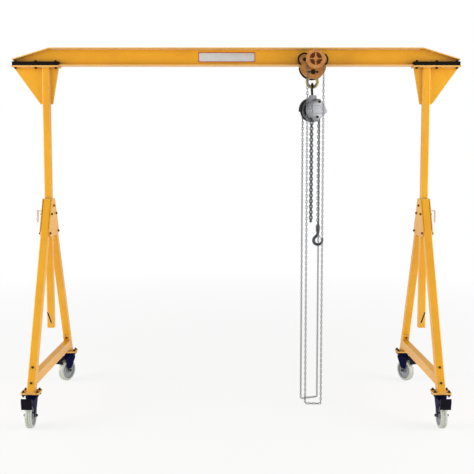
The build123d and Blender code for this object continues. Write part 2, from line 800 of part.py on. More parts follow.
def load_hook():
    outline = Pos(0, bowl_height) * Circle(bowl_radius)
    outline += shape((-neck_width / 2, bowl_height), (neck_width / 2, bowl_height + bowl_radius),
                     (neck_width / 2, block_bottom - seat_gap), (-neck_width / 2, block_bottom - seat_gap))
    outline -= Pos(throat_shift, bowl_height) * Circle(throat_radius)
    mouth = Pos(neck_width / 2 + bowl_radius, tip_height + bowl_radius)
    outline -= mouth * Rectangle(2 * bowl_radius, 2 * bowl_radius)
    tip_x = (throat_shift + throat_radius + bowl_radius) / 2
    outline += Pos(tip_x, tip_height) * Circle(tip_radius)
    half = load_hook_thickness / 2
    pin_half = half + latch_side_gap + latch_wall
    hook = across(outline, -half, half)
    return hook + rod_y(latch_x, -pin_half, pin_half, latch_height, latch_pin_radius)


def hook_latch():
    """Sheet-metal latch: two cheeks on the pin and a strip across the mouth."""
    half = load_hook_thickness / 2 + latch_side_gap
    top_x, top_z = latch_top_reach, latch_height - latch_top_drop
    end_x, end_z = latch_tip_reach, bowl_height + latch_tip_rise
    cheek = Pos(latch_x, latch_height) * Circle(latch_eye)
    cheek += shape((latch_x, latch_height - latch_eye), (top_x - latch_wall, top_z - latch_eye),
                   (top_x, top_z), (latch_x, latch_height + latch_eye))
    strip = shape((top_x, top_z), (top_x - latch_wall, top_z), (end_x - latch_wall, end_z), (end_x, end_z))
    latch = across(strip, -half - latch_wall, half + latch_wall)
    for face in (-1, 1):
        latch += across(cheek, face * half, face * (half + latch_wall))
    bore = rod_y(latch_x, -2 * half, 2 * half, latch_height, latch_pin_radius + pin_gap)
    return latch - bore


hook_place = Pos(*hook_axis)
save("hook_block", hook_place * Rot(0, 0, hoist_yaw) * hook_block())
save("load_hook", hook_place * load_hook())
save("hook_latch", hook_place * hook_latch())
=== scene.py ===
from fnmatch import fnmatch
from math import cos, pi, radians, sin
import bpy
import numpy as np
from mathutils import Matrix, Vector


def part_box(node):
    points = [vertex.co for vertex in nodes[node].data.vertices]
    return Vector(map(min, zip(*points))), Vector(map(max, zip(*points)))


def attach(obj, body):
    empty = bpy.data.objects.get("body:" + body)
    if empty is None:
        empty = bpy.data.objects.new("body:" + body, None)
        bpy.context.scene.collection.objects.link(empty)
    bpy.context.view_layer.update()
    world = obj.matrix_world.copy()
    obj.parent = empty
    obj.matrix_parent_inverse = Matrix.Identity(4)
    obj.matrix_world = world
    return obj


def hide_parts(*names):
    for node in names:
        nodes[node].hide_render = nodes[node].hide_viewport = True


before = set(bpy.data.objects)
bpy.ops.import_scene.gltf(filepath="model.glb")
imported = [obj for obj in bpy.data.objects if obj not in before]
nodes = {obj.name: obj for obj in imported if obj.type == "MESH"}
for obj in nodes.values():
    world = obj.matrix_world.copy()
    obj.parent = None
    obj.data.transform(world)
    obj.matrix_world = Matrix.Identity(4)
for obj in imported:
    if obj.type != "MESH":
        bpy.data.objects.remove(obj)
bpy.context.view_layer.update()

mm = 0.001


def boxOf(node):
    # lowest and highest corner of a CAD node
    low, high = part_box(node)
    return np.array(low), np.array(high)


midY = float(sum(c[1] for c in boxOf("beam_web")) / 2)      # the beam and posts stand in the plane y = midY


# Camera: solved from the edges of posts, legs and beam; the picture is 474 pixels square
view = dict(focal=796.4, picture=474, sensor=36.0, pitch=4.94, eye=(0.0066, -6.7936, 2.030))
lens = bpy.data.cameras.new("camera")
lens.sensor_width = view["sensor"]
lens.lens = view["focal"] * view["sensor"] / view["picture"]
camera = bpy.data.objects.new("camera", lens)
camera.location = view["eye"]
camera.rotation_euler = (radians(90 - view["pitch"]), 0, 0)
bpy.context.scene.collection.objects.link(camera)
bpy.context.scene.camera = camera
bpy.context.scene.view_settings.view_transform = "Standard"


# Finishes: colours are sRGB hex, sizes in mm of the real grain

def linear(text):
    # sRGB to linear: c / 12.92 for dark values, else ((c + 0.055) / 1.055) to the power 2.4
    c = np.array([int(text[k:k + 2], 16) for k in (0, 2, 4)]) / 255
    return (*np.where(c <= 0.04045, c / 12.92, ((c + 0.055) / 1.055) ** 2.4), 1.0)


def addNode(tree, kind, settings=None, links=None):
    # settings go to an input (by name or number) or to the node itself; links name (node, output)
    node = tree.nodes.new("ShaderNode" + kind)
    for key, value in (settings or {}).items():
        if isinstance(key, int) or key in node.inputs:
            node.inputs[key].default_value = value
        else:
            setattr(node, key, value)
    for key, (source, output) in (links or {}).items():
        tree.links.new(source.outputs[output], node.inputs[key])
    return node


finishes = {}
# from and to: the noise that turns one colour into the other and smooth into rough, how far the rounded normal
# leaves the true one at an edge, for painted edge light, and how open a spot is where painted shade starts and ends
ranges = dict(cloud=(0.36, 0.66), grain=(0.3, 0.7), edge=(0.985, 0.86), cornerShade=(0.55, 0.10), cornerShadeMost=0.85)


def makeFinish(name, base, shade, cloud, grain, relief, rough, metallic=0.0, edge=None, edgeShadingWidth=1.2, edgeShadingStrength=0.3,
               soften=1.2, ior=1.5, gloss=0.5, cornerShade=None, reach=45.0, inside=None, through=0.0):
    # two colours in soft clouds, a fine grain that lifts the surface and varies its roughness, edges softened
    # as by paint or tumbling, painted light on the edges, painted shade where other surfaces are near,
    # and light let through
    finish = bpy.data.materials.new(name)
    finish.use_nodes = True
    tree = finish.node_tree
    shader = tree.nodes["Principled BSDF"]
    where = addNode(tree, "TexCoord")
    clouds = addNode(tree, "TexNoise", {"Scale": 1 / (cloud * mm), "Detail": 3.0, "Roughness": 0.6},
                     {"Vector": (where, "Object")})
    grains = addNode(tree, "TexNoise", {"Scale": 1 / (grain * mm), "Detail": 2.0},
                     {"Vector": (where, "Object")})
    low, high = ranges["cloud"]
    share = addNode(tree, "MapRange", {"From Min": low, "From Max": high}, {"Value": (clouds, "Fac")})
    colour = addNode(tree, "Mix", {"data_type": "RGBA", 6: linear(base), 7: linear(shade)},
                     {0: (share, "Result")})
    result = (colour, 2)
    softer = addNode(tree, "Bevel", {"samples": 4, "Radius": soften * mm})
    if edge:
        # painted light on edges: where the rounded normal leaves the true one there is an edge, and the given colour
        # is blended in there, a painted highlight where it is paler and painted shade where it is darker
        plain = addNode(tree, "NewGeometry")
        rounder = addNode(tree, "Bevel", {"samples": 4, "Radius": edgeShadingWidth * mm})
        along = addNode(tree, "VectorMath", {"operation": "DOT_PRODUCT"},
                        {0: (rounder, "Normal"), 1: (plain, "Normal")})
        low, high = ranges["edge"]
        edgeShadingShare = addNode(tree, "MapRange", {"From Min": low, "From Max": high, "To Max": edgeShadingStrength},
                       {"Value": (along, "Value")})
        colour = addNode(tree, "Mix", {"data_type": "RGBA", 7: linear(edge)},
                         {0: (edgeShadingShare, "Result"), 6: result})
        result = (colour, 2)
    if cornerShade:
        # painted shade: the colour darkens towards the given one where other surfaces are near, as ambient occlusion
        # finds
        near = addNode(tree, "AmbientOcclusion", {"samples": 6, "Distance": reach * mm})
        low, high = ranges["cornerShade"]
        cornerShadeShare = addNode(tree, "MapRange", {"From Min": low, "From Max": high, "To Max": ranges["cornerShadeMost"]},
                        {"Value": (near, "AO")})
        colour = addNode(tree, "Mix", {"data_type": "RGBA", 7: linear(cornerShade)},
                         {0: (cornerShadeShare, "Result"), 6: result})
        result = (colour, 2)
    if inside:
        # painted shade: faces nearer to the beam's plane than the given distance take the given dark colour
        innerShadeColour, half = inside
        axes = addNode(tree, "SeparateXYZ", {}, {0: (where, "Object")})
        off = addNode(tree, "Math", {"operation": "SUBTRACT", 1: midY}, {0: (axes, "Y")})
        gap = addNode(tree, "Math", {"operation": "ABSOLUTE"}, {0: (off, "Value")})
        inner = addNode(tree, "Math", {"operation": "LESS_THAN", 1: half * mm}, {0: (gap, "Value")})
        colour = addNode(tree, "Mix", {"data_type": "RGBA", 7: linear(innerShadeColour)},
                         {0: (inner, "Value"), 6: result})
        result = (colour, 2)
    low, high = ranges["grain"]
    dull = addNode(tree, "MapRange", {"From Min": low, "From Max": high, "To Min": rough[0],
                                                "To Max": rough[1]}, {"Value": (grains, "Fac")})
    lift = addNode(tree, "Bump", {"Strength": 1.0, "Distance": relief * mm},
                   {"Height": (grains, "Fac"), "Normal": (softer, "Normal")})
    tree.links.new(result[0].outputs[result[1]], shader.inputs["Base Color"])
    tree.links.new(dull.outputs["Result"], shader.inputs["Roughness"])
    tree.links.new(lift.outputs["Normal"], shader.inputs["Normal"])
    even = {"Metallic": metallic, "IOR": ior, "Specular IOR Level": gloss}
    if through:
        even.update({"Subsurface Weight": 1.0, "Subsurface Radius": (1, 1, 1), "Subsurface Scale": through * mm})
    for socket, value in even.items():
        shader.inputs[socket].default_value = value
    finishes[name] = finish


sprayed = ("eca90a", "e29d05", 420, 3.2, 0.05, (0.30, 0.42))
# sprayed two-pack enamel on steel: even, glossy, a faint orange peel about 3 mm across, painted pale highlight on
# edges
makeFinish("yellowEnamel", *sprayed, edge="fff0cc", edgeShadingWidth=7.0, edgeShadingStrength=0.65, soften=1.6, gloss=0.6, cornerShade="8c5406",
           reach=85)
# the same on the head plates, with painted brown shade along their edges
makeFinish("edgeShadedEnamel", *sprayed, edge="94640f", edgeShadingWidth=5.0, edgeShadingStrength=0.8, soften=1.6, gloss=0.6, cornerShade="8c5406", reach=85)
# brushed-on black enamel over hot-rolled bar: satin, slightly uneven
makeFinish("blackEnamel", "0e0b0a", "17130f", 60, 2.5, 0.06, (0.36, 0.52), edge="2e2a26", gloss=0.08)
# dipped navy enamel on pressed steel: deep and dark, with a painted blue highlight at the edges
makeFinish("navyEnamel", "0c0d2e", "13143c", 50, 2.0, 0.04, (0.40, 0.55), edge="2b2c66", edgeShadingWidth=2.0, gloss=0.02)
# moulded polypropylene: matt black, leather-like spark-eroded grain
makeFinish("blackPolypropylene", "100e16", "18161f", 40, 1.1, 0.06, (0.46, 0.60), ior=1.49, gloss=0.06)
# cast polyamide: off-white, waxy, faint flow marks, painted grey shade in the grooves
makeFinish("castNylon", "c8cabf", "bcbfb3", 45, 1.6, 0.04, (0.34, 0.46), ior=1.53, edge="f2f3ec", edgeShadingWidth=2.5,
           cornerShade="6c6e6c", reach=14)
# grey polyamide of the wheel cores, set a little darker than its own grey as painted shade for the front cores
makeFinish("greyNylon", "9a9ca0", "8c8e92", 40, 1.4, 0.04, (0.38, 0.50), ior=1.53, edge="d8dadb", edgeShadingWidth=2.5,
           cornerShade="4c4d52", reach=25)
# copper-brown hammer enamel on cast and pressed steel: glossy with soft dimples, painted brown shade in the hollows
makeFinish("copperEnamel", "d99350", "b87638", 55, 3.0, 0.07, (0.26, 0.38), metallic=0.3, edge="ffd0a0", edgeShadingWidth=3.0,
           edgeShadingStrength=0.5, gloss=0.3, cornerShade="5a2a10", reach=30)
# the same on the side plates, their inner faces darkened as painted shade
makeFinish("copperPlate", "c2823e", "9c6a30", 40, 3.0, 0.07, (0.26, 0.38), metallic=0.3, edge="efc08a", edgeShadingWidth=3.0,
           edgeShadingStrength=0.5, gloss=0.3, cornerShade="4a2610", reach=35, inside=("2a150c", 55.6))
# the same in the shade of the hand wheel's hollow
makeFinish("copperHollowShade", "8a4a22", "6a3416", 20, 2.0, 0.07, (0.36, 0.50), metallic=0.2, gloss=0.2)
# forged and oil-blackened steel: brown-black scale
makeFinish("blackenedSteel", "1f1712", "2c221b", 22, 1.5, 0.08, (0.40, 0.58), metallic=0.5, edge="4c4138", gloss=0.2)
# oiled bolts: brown
makeFinish("oiledSteel", "4a3216", "33220f", 9, 1.2, 0.05, (0.30, 0.46), metallic=0.5, edge="a58a58", gloss=0.3)
# yellow chromate on zinc: olive-gold with drifting tints
makeFinish("chromatedZinc", "a3975c", "857c4c", 16, 1.2, 0.05, (0.30, 0.46), metallic=0.8, edge="c4b97c")
# hardened chain steel: dark grey, rolled and tumbled
makeFinish("tumbledSteel", "55555a", "424247", 12, 0.9, 0.05, (0.30, 0.48), metallic=0.9, edge="8a8a90")
# dull zinc on welded wire links: mid grey, rubbed by hands
makeFinish("dullZinc", "6c6f72", "565a5d", 14, 0.8, 0.03, (0.34, 0.50), metallic=0.8, edge="9a9da0")
# bright zinc plate: pale blue-grey, drawn finely round the bar
makeFinish("brightZinc", "b9bbbd", "a4a6a9", 14, 0.8, 0.03, (0.24, 0.40), metallic=0.9, edge="d2d4d6")
# dip-moulded vinyl on the lock's grip: milky pale lilac, light passes some way through it
makeFinish("milkyVinyl", "dbe6fa", "d0dcf2", 18, 1.0, 0.04, (0.40, 0.52), edge="fafaff", ior=1.53, through=26.0)
# pressure die-cast aluminium, bead blasted: pale silver, fine even grain
makeFinish("blastedAluminium", "a2a3a7", "929397", 40, 1.0, 0.05, (0.42, 0.56), metallic=0.5, edge="e2e2e5", edgeShadingWidth=2.5,
           edgeShadingStrength=0.5, cornerShade="3c3d42", reach=22)
# sand-cast aluminium of the hoist's housing: rougher, and darker as painted shade
makeFinish("shadedCastAluminium", "8c8d92", "6c6d72", 18, 1.6, 0.10, (0.46, 0.62), metallic=0.5, edge="c8c8cc", edgeShadingWidth=2.5,
           edgeShadingStrength=0.5, cornerShade="26272b", reach=30)
# screen-printed aluminium sheet: pale grey, and the red of its border
makeFinish("paleSheet", "d6d6d4", "cecfce", 70, 1.5, 0.02, (0.36, 0.46), metallic=0.2)
makeFinish("redInk", "b5302a", "a82a26", 60, 1.5, 0.02, (0.40, 0.50))


# the first finish with a pattern that fits a CAD node's name is that node's
patterns = dict(edgeShadedEnamel="*_head_plate", milkyVinyl="*lock_screw*", brightZinc="*hand_chain hook_latch",
                blackEnamel="*clamp_bars* hoist_hand_wheel hoist_wheel_guard", navyEnamel="*caster_plates* *_fork",
                blackPolypropylene="*_pedal", copperPlate="trolley_side_plates", copperEnamel="trolley_hand_wheel",
                blackenedSteel="trolley_* suspension_shaft top_hook", castNylon="*_wheel", chromatedZinc="suspender",
                tumbledSteel="load_hook hook_block load_chain slack_chain", shadedCastAluminium="hoist_body",
                blastedAluminium="hoist_gear_cover", yellowEnamel="*")


def finishOf(node):
    return next(name for name, words in patterns.items() if any(fnmatch(node, word) for word in words.split()))


for name, part in nodes.items():
    part.data.materials.clear()
    part.data.materials.append(finishes[finishOf(name)])
print("finishes:", len(finishes))


# Surfaces: a shape is its points and its faces, grouped by their number of corners

def gridQuads(rows, cols, wrapRows=False):
    # quad (i, j) joins a grid point to the next in its ring and to the next ring; rings are closed
    i, j = np.meshgrid(np.arange(rows if wrapRows else rows - 1), np.arange(cols), indexing="ij")
    up, on = (i + 1) % rows, (j + 1) % cols
    return np.stack([i * cols + j, i * cols + on, up * cols + on, up * cols + j], -1).reshape(-1, 4)


def ringSurface(rings, closed):
    # rings of equal length, joined in order; an open stack gets a flat face at both ends
    rows, cols = rings.shape[:2]
    groups = [gridQuads(rows, cols, closed)]
    if not closed:
        groups.append(np.stack([np.arange(cols)[::-1], np.arange(cols) + (rows - 1) * cols]))
    return rings.reshape(-1, 3), groups


def circle(sides):
    # points at equal angles, radius one
    a = 2 * pi * np.arange(sides) / sides
    return np.stack([np.cos(a), np.sin(a)], -1)


def stacked(outline, profile, closed=False):
    # ring i is the outline times radius i, at height i
    r, h = np.array(profile, float).T
    flat = r[:, None, None] * outline[None]
    return ringSurface(np.concatenate([flat, np.broadcast_to(h[:, None, None], (*flat.shape[:2], 1))], -1), closed)


def lathed(sides, line, closed=False):
    # the line's pairs of radius and height, in mm, turned round the axis
    return stacked(circle(sides), np.array(line) * mm, closed)


def swept(path, flat, wide, deep, sides, closed):
    # point (i, j) is path i + wide i cos(a j) to the side + deep i sin(a j) along flat, the path plane's normal
    path, flat = np.asarray(path, float), np.asarray(flat, float)
    step = np.roll(path, -1, 0) - np.roll(path, 1, 0) if closed else np.gradient(path, axis=0)
    side = np.cross(flat, step)
    side /= np.linalg.norm(side, axis=1, keepdims=True)
    c, s = circle(sides).T
    wide, deep = (np.broadcast_to(v, len(path))[:, None, None] for v in (wide, deep))
    rings = path[:, None] + wide * c[None, :, None] * side[:, None] + deep * s[None, :, None] * flat
    return ringSurface(rings, closed)


def frames(normals, hint):
    # one right-handed set of axes per normal, with x as near the hint as it can be
    z = np.atleast_2d(np.asarray(normals, float))
    z = z / np.linalg.norm(z, axis=1, keepdims=True)
    x = np.broadcast_to(np.asarray(hint, float), z.shape)
    x = x - (x * z).sum(1, keepdims=True) * z
    x = x / np.linalg.norm(x, axis=1, keepdims=True)
    return np.stack([x, np.cross(z, x), z], 1)


def copies(shape, spots, axes):
    # every copy is its spot + x, y and z along that copy's axes, all copies at once
    points, groups = shape
    spots = np.atleast_2d(np.asarray(spots, float))
    axes = np.broadcast_to(axes, (len(spots), 3, 3))
    many = (spots[:, None] + np.einsum("kc,ncd->nkd", points, axes)).reshape(-1, 3)
    shift = (np.arange(len(spots)) * len(points))[:, None, None]
    return many, [(g[None] + shift).reshape(-1, g.shape[1]) for g in groups]


def joined(shapes):
    # all points in one list, and the faces of each number of corners together
    points, groups, start = [], {}, 0
    for some, faces in shapes:
        points.append(some)
        for g in faces:
            groups.setdefault(g.shape[1], []).append(g + start)
        start += len(some)
    return np.concatenate(points), [np.concatenate(g) for g in groups.values()]


creaseAngle = 38      # degrees between faces from which an edge is drawn sharp


def addPiece(name, body, finish, slot, *shapes, stands=()):
    # all shapes in one mesh that rides on its body and stands in for the CAD nodes named
    points, groups = joined(shapes)
    mesh = bpy.data.meshes.new(name)
    corners = np.concatenate([g.ravel() for g in groups])
    sizes = np.concatenate([np.full(len(g), g.shape[1]) for g in groups])
    mesh.vertices.add(len(points))
    mesh.vertices.foreach_set("co", points.astype(np.float32).ravel())
    mesh.loops.add(len(corners))
    mesh.loops.foreach_set("vertex_index", corners.astype(np.int32))
    mesh.polygons.add(len(sizes))
    mesh.polygons.foreach_set("loop_start", (np.cumsum(sizes) - sizes).astype(np.int32))
    mesh.polygons.foreach_set("use_smooth", np.ones(len(sizes), bool))
    mesh.update(calc_edges=True)
    mesh.set_sharp_from_angle(angle=radians(creaseAngle))
    mesh.materials.append(finishes[finish])
    piece = bpy.data.objects.new(name, mesh)
    bpy.context.scene.collection.objects.link(piece)
    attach(piece, body)
    if stands:
        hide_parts(*stands)


# Chains: closed links, each a quarter turn from the next

def linkShape(pitch, bar, width, along=12, around=5):
    # centre line of two half circles joined by straight runs, a round bar carried along it
    r = (width - bar) / 2
    run = (pitch + bar) / 2 - r
    a = np.linspace(0, pi, along // 2)
    top = np.stack([r * np.cos(a), run + r * np.sin(a), 0 * a], -1)
    return swept(np.concatenate([top, -top]) * mm, (0, 0, 1), bar / 2 * mm, bar / 2 * mm, around, True)


hoist = dict(x=0.662, y=0.05, z=2.52196, yaw=22.0)
hoistRun = np.array([cos(radians(hoist["yaw"])), sin(radians(hoist["yaw"])), 0])
hoistAxle = np.array([-hoistRun[1], hoistRun[0], 0])
up = np.array([0, 0, 1.0])


def hoistSpot(x, y, z):
    # x along the hoist, y along its axle and z up from its axis, in mm
    return np.array([hoist["x"], hoist["y"], hoist["z"]]) + (x * hoistRun + y * hoistAxle + z * up) * mm


loadChain = dict(pitch=24.0, bar=7.2, width=27.4, step=23.7, top=-73.5, loadLinks=39, slackLinks=37,
                 loadX=42.0, slackX=-27.0, y=-8.0, slackTurn=48.0, twist=-28.0, twistLinks=4, seat=0.3)
driveSpot = (0.660, -0.080, 2.936)      # middle of the trolley's hand wheel


def linkAxes(flats, runs):
    # axes of a link with its length along runs and its flat side facing flats
    flats, runs = np.broadcast_arrays(np.asarray(flats, float), np.asarray(runs, float))
    return np.stack([np.cross(runs, flats), runs, flats], -2)


def hungStrand(link, x, y, count, lastFlat, twist=0.0):
    # link k hangs k + 1/2 steps below the top; links alternate so that the last one faces lastFlat,
    # and a twist eases in over a few links at both ends
    k = np.arange(count)
    turn = (radians(twist) * np.clip(np.minimum(k, count - 1 - k) / loadChain["twistLinks"], 0, 1))[:, None]
    spots = hoistSpot(x, y, loadChain["top"]) - ((k + 0.5) * loadChain["step"] * mm)[:, None] * up
    flats = np.where(((count - k) % 2 == 1)[:, None], lastFlat, np.cross(-up, lastFlat))
    flats = np.cos(turn) * flats + np.sin(turn) * np.cross(up, flats)
    return copies(link, spots, linkAxes(flats, -up))


steelLink = linkShape(loadChain["pitch"], loadChain["bar"], loadChain["width"])
addPiece("load_chain_links", "hoist", "tumbledSteel", "dark_steel",
         hungStrand(steelLink, loadChain["loadX"], loadChain["y"], loadChain["loadLinks"], hoistAxle,
                    loadChain["twist"]),
         stands=["load_chain"])

slackSide = radians(loadChain["slackTurn"])
slackRun = cos(slackSide) * hoistRun + sin(slackSide) * hoistAxle
reach = (loadChain["pitch"] + loadChain["bar"]) / 2      # from the loop's middle to each strand
lowest = loadChain["top"] - (loadChain["slackLinks"] - 0.5) * loadChain["step"]
lowest -= reach - loadChain["bar"] - loadChain["seat"]
slackShapes = [copies(steelLink, hoistSpot(loadChain["slackX"], loadChain["y"], lowest), linkAxes(up, slackRun))]
for k in (-1, 1):
    slackShapes.append(hungStrand(steelLink, loadChain["slackX"] + k * reach * cos(slackSide),
                                  loadChain["y"] + k * reach * sin(slackSide), loadChain["slackLinks"],
                                  np.cross(slackRun, up)))
addPiece("slack_chain_links", "hoist", "tumbledSteel", "dark_steel", *slackShapes, stands=["slack_chain"])

handChain = dict(pitch=24.0, play=0.3, bar=5.2, width=17.5, corner=14.0, floor=11.0, clear=60.0,
                 ease=140.0, trolleyWheel=67.0, hoistWheel=80.0, hoistY=55.0)


def handLoop(name, body, node, middle, run, axleHeight, radius):
    # loop by length: up one side, half round the wheel, down, and flat along the bottom with rounded corners
    c, low = handChain["corner"], handChain["floor"]
    side = axleHeight - low - c
    pieces = np.array([side, pi * radius, side, pi * c / 2, 2 * radius - 2 * c, pi * c / 2])
    count = 2 * int(round(pieces.sum() / (handChain["pitch"] - handChain["play"]) / 2))
    s = (np.arange(count) + 0.5) * pieces.sum() / count
    edges = np.concatenate([[0], np.cumsum(pieces)])
    t = [np.clip(s - edges[k], 0, pieces[k]) for k in range(6)]
    stretch = np.searchsorted(edges, s) - 1
    a = pi - t[1] / radius
    b, d = t[3] / c, t[5] / c
    xs = [-radius + 0 * s, radius * np.cos(a), radius + 0 * s, radius - c + c * np.cos(b), radius - c - t[4],
          c - radius - c * np.sin(d)]
    zs = [low + c + t[0], axleHeight + radius * np.sin(a), axleHeight - t[2], low + c - c * np.sin(b), low + 0 * s,
          low + c - c * np.cos(d)]
    dx = [0 * s, np.sin(a), 0 * s, -np.sin(b), -1 + 0 * s, -np.cos(d)]
    dz = [1 + 0 * s, -np.cos(a), -1 + 0 * s, -np.cos(b), 0 * s, np.sin(d)]
    x, z, goX, goZ = (np.choose(stretch, part) for part in (xs, zs, dx, dz))
    spots = np.asarray(middle) + x[:, None] * mm * run + z[:, None] * mm * up
    goes = goX[:, None] * run + goZ[:, None] * up
    across = np.cross(run, up)
    # half a quarter turn either way on the wheel, eased below it to flat on and edge on in turn
    ease = np.clip((axleHeight - radius - handChain["clear"] - z) / handChain["ease"], 0, 1)
    twist = (pi / 4 * (ease - 1) + pi / 2 * (np.arange(count) % 2))[:, None]
    flats = np.cos(twist) * across + np.sin(twist) * np.cross(goes, across)
    link = linkShape(handChain["pitch"], handChain["bar"], handChain["width"], around=4)
    addPiece(name, body, "dullZinc", "zinc_plate", copies(link, spots, linkAxes(flats, goes)), stands=[node])
    print(name, count, "links", round(pieces.sum()), "mm")


handLoop("trolley_chain_links", "trolley", "trolley_hand_chain", (*driveSpot[:2], 0),
         np.array([1.0, 0, 0]), driveSpot[2] / mm, handChain["trolleyWheel"])
wheelSpot = hoistSpot(0, handChain["hoistY"], 0)
handLoop("hoist_chain_links", "hoist", "hoist_hand_chain", (*wheelSpot[:2], 0), hoistRun, hoist["z"] / mm,
         handChain["hoistWheel"])


# Where things are, in metres
crane = dict(postX=1.610, legFootY=0.706, legSlope=0.552 / 1.201, footTop=0.282, legHalf=0.0325, headPlate=0.008,
             postHalf=0.030, halfWeb=0.0035, flange=0.009)
flangeTop = float(boxOf("beam_bottom_flange")[1][2])
plateUnder = float(boxOf("right_post")[1][2])
sides = (("left", -1), ("right", 1))


def legY(z):
    # the leg's centre line leans in by the slope times the height above the foot plate
    return crane["legFootY"] - (z - crane["footTop"]) * crane["legSlope"]


# Bolts: washer, chamfered hexagon and thread end stacked on a seat

def boltShape(size, stub):
    # rings of 14, 6 and 10 corners, radii and heights as shares of the thread size
    s = size * mm
    washer = stacked(circle(14), np.array([(0.98, 0), (1.06, 0.05), (1.06, 0.15), (0.98, 0.2)]) * s)
    hexagon = stacked(circle(6), np.array([(0.90, 0.2), (0.93, 0.24), (0.93, 0.84), (0.82, 0.95)]) * s)
    thread = stacked(circle(10), np.array([(0.5, 0.9), (0.5, 0.95 + stub), (0.4, 1.05 + stub)]) * s)
    return joined([washer, hexagon, thread])


bolts = dict(foot=(12.0, 0.45), head=(10.5, 0.15), clamp=(12.0, 0.1), cross=(9.5, 0.1), trolley=(8.0, 0.1),
             axle=(15.0, 0.3), cover=(11.0, 0.0), screw=(7.0, 0.0), caster=(13.0, 0.2))      # thread size and stub
# where they sit, in metres: pitches on the foot plates, heights on legs and head plates, rows on the clamp bars
boltPlaces = dict(foot=(0.055, 0.038), footPlates=0.020, cross=(0.447, 0.334), endPlate=0.0083,
                  head=((0, 1.710), (-0.083, 1.641), (0.083, 1.641), (-0.154, 1.483), (0.154, 1.483)),
                  clampX=(1.862, 1.692, 1.523), clampY=0.027, clampBar=0.025, trolley=0.036)


def boltRow(kind, spots, normals, hint=(0, 0, 1)):
    # one bolt per spot, standing along that spot's normal
    spots = np.atleast_2d(np.asarray(spots, float))
    normals = np.broadcast_to(np.asarray(normals, float), spots.shape)
    return copies(boltShape(*bolts[kind]), spots, frames(normals, hint))


for side, sign in sides:
    x = sign * crane["postX"]
    rows = []
    pitchX, pitchY = boltPlaces["foot"]
    corners = np.array([(i * pitchX, j * pitchY, 0) for i in (-1, 1) for j in (-1, 1)])
    for face in (-1, 1):
        foot = np.array([x, midY + face * crane["legFootY"], 0])
        rows.append(boltRow("foot", foot + corners + (0, 0, crane["footTop"]), (0, 0, 1), (1, 0, 0)))
        under = crane["footTop"] - boltPlaces["footPlates"]
        rows.append(boltRow("foot", foot + corners + (0, 0, under), (0, 0, -1), (1, 0, 0)))
        out = np.array([0, face, crane["legSlope"]])
        out /= np.linalg.norm(out)
        ends = np.array([(x, midY + face * legY(z), z) for z in boltPlaces["cross"]])
        rows.append(boltRow("cross", ends + out * crane["legHalf"], out, (1, 0, 0)))
        rows.append(boltRow("cross", ends[:1] - out * (crane["legHalf"] + boltPlaces["endPlate"]), -out, (1, 0, 0)))
    heads = np.array([(0, y, z) for y, z in boltPlaces["head"]])
    reach = crane["legHalf"] + crane["headPlate"]
    rows.append(boltRow("head", heads + (x - sign * reach, midY, 0), (-sign, 0, 0)))
    rows.append(boltRow("head", heads[1:] + (x + sign * reach, midY, 0), (sign, 0, 0)))
    addPiece(f"{side}_leg_bolts", f"{side}_leg_frame", "oiledSteel", "dark_iron", *rows)

beamBolts = []
for side, sign in sides:
    spots = np.array([(sign * a, midY + k * boltPlaces["clampY"], 0) for a in boltPlaces["clampX"] for k in (-1, 1)])
    beamBolts.append(boltRow("clamp", spots + (0, 0, flangeTop + boltPlaces["clampBar"]), (0, 0, 1), (1, 0, 0)))
    beamBolts.append(boltRow("clamp", spots + (0, 0, plateUnder), (0, 0, -1), (1, 0, 0)))
addPiece("beam_bolts", "upper_frame", "blackenedSteel", "dark_iron", *beamBolts)

trolley = dict(x=0.645, shaftZ=2.835, axleZ=2.9393, spread=0.072, face=0.063)
trolleyBolts = [boltRow("trolley", [(trolley["x"] + k * boltPlaces["trolley"], midY - trolley["face"],
                                     trolley["shaftZ"]) for k in (-1, 1)], (0, -1, 0))]
for face in (-1, 1):
    trolleyBolts.append(boltRow("axle", [(trolley["x"] + k * trolley["spread"], midY + face * trolley["face"],
                                          trolley["axleZ"]) for k in (-1, 1)], (0, face, 0)))
addPiece("trolley_bolts", "trolley", "blackenedSteel", "dark_iron", *trolleyBolts)

print("bolts placed")


# Plates: a rounded outline stacked with its rims cut back a little

def roundedOutline(width, height, corner, steps=5):
    # quarter circles at the four corners, joined by straight runs, counter-clockwise
    a = np.linspace(0, pi / 2, steps)
    quarter = corner * np.stack([np.cos(a), np.sin(a)], -1)
    spots = []
    for k, (i, j) in enumerate(((1, 1), (-1, 1), (-1, -1), (1, -1))):
        c, s = cos(k * pi / 2), sin(k * pi / 2)
        spots.append(quarter @ np.array([(c, s), (-s, c)]) + (i * (width / 2 - corner), j * (height / 2 - corner)))
    return np.concatenate(spots)


def plateShape(width, height, corner, low, high):
    # the rounded outline at four heights from low to high, its first and last ring slightly smaller
    return stacked(roundedOutline(width, height, corner) * mm, [(0.997, low * mm), (1, (low + 0.3) * mm),
                                                                (1, (high - 0.3) * mm), (0.997, high * mm)])


# Clamp lips: the clamp bars' outer legs, which hide the flange's edges

lip = dict(wall=5.0, gap=0.2, corner=1.2, under=0.5)


def alongX(ring, start, end):
    # an outline in y and z, drawn out along x from start to end
    xs = np.array([start, end])
    rings = np.concatenate([np.broadcast_to(xs[:, None, None], (2, len(ring), 1)),
                            np.broadcast_to(ring, (2, *ring.shape))], -1)
    return ringSurface(rings, False)


def barRun(low, high, corner):
    # a box drawn out along x, its four long edges cut back by the corner
    (x0, y0, z0), (x1, y1, z1) = low, high
    c = corner * mm
    ring = np.array([(y0 + c, z0), (y1 - c, z0), (y1, z0 + c), (y1, z1 - c), (y1 - c, z1), (y0 + c, z1), (y0, z1 - c),
                     (y0, z0 + c)])
    return alongX(ring, x0, x1)


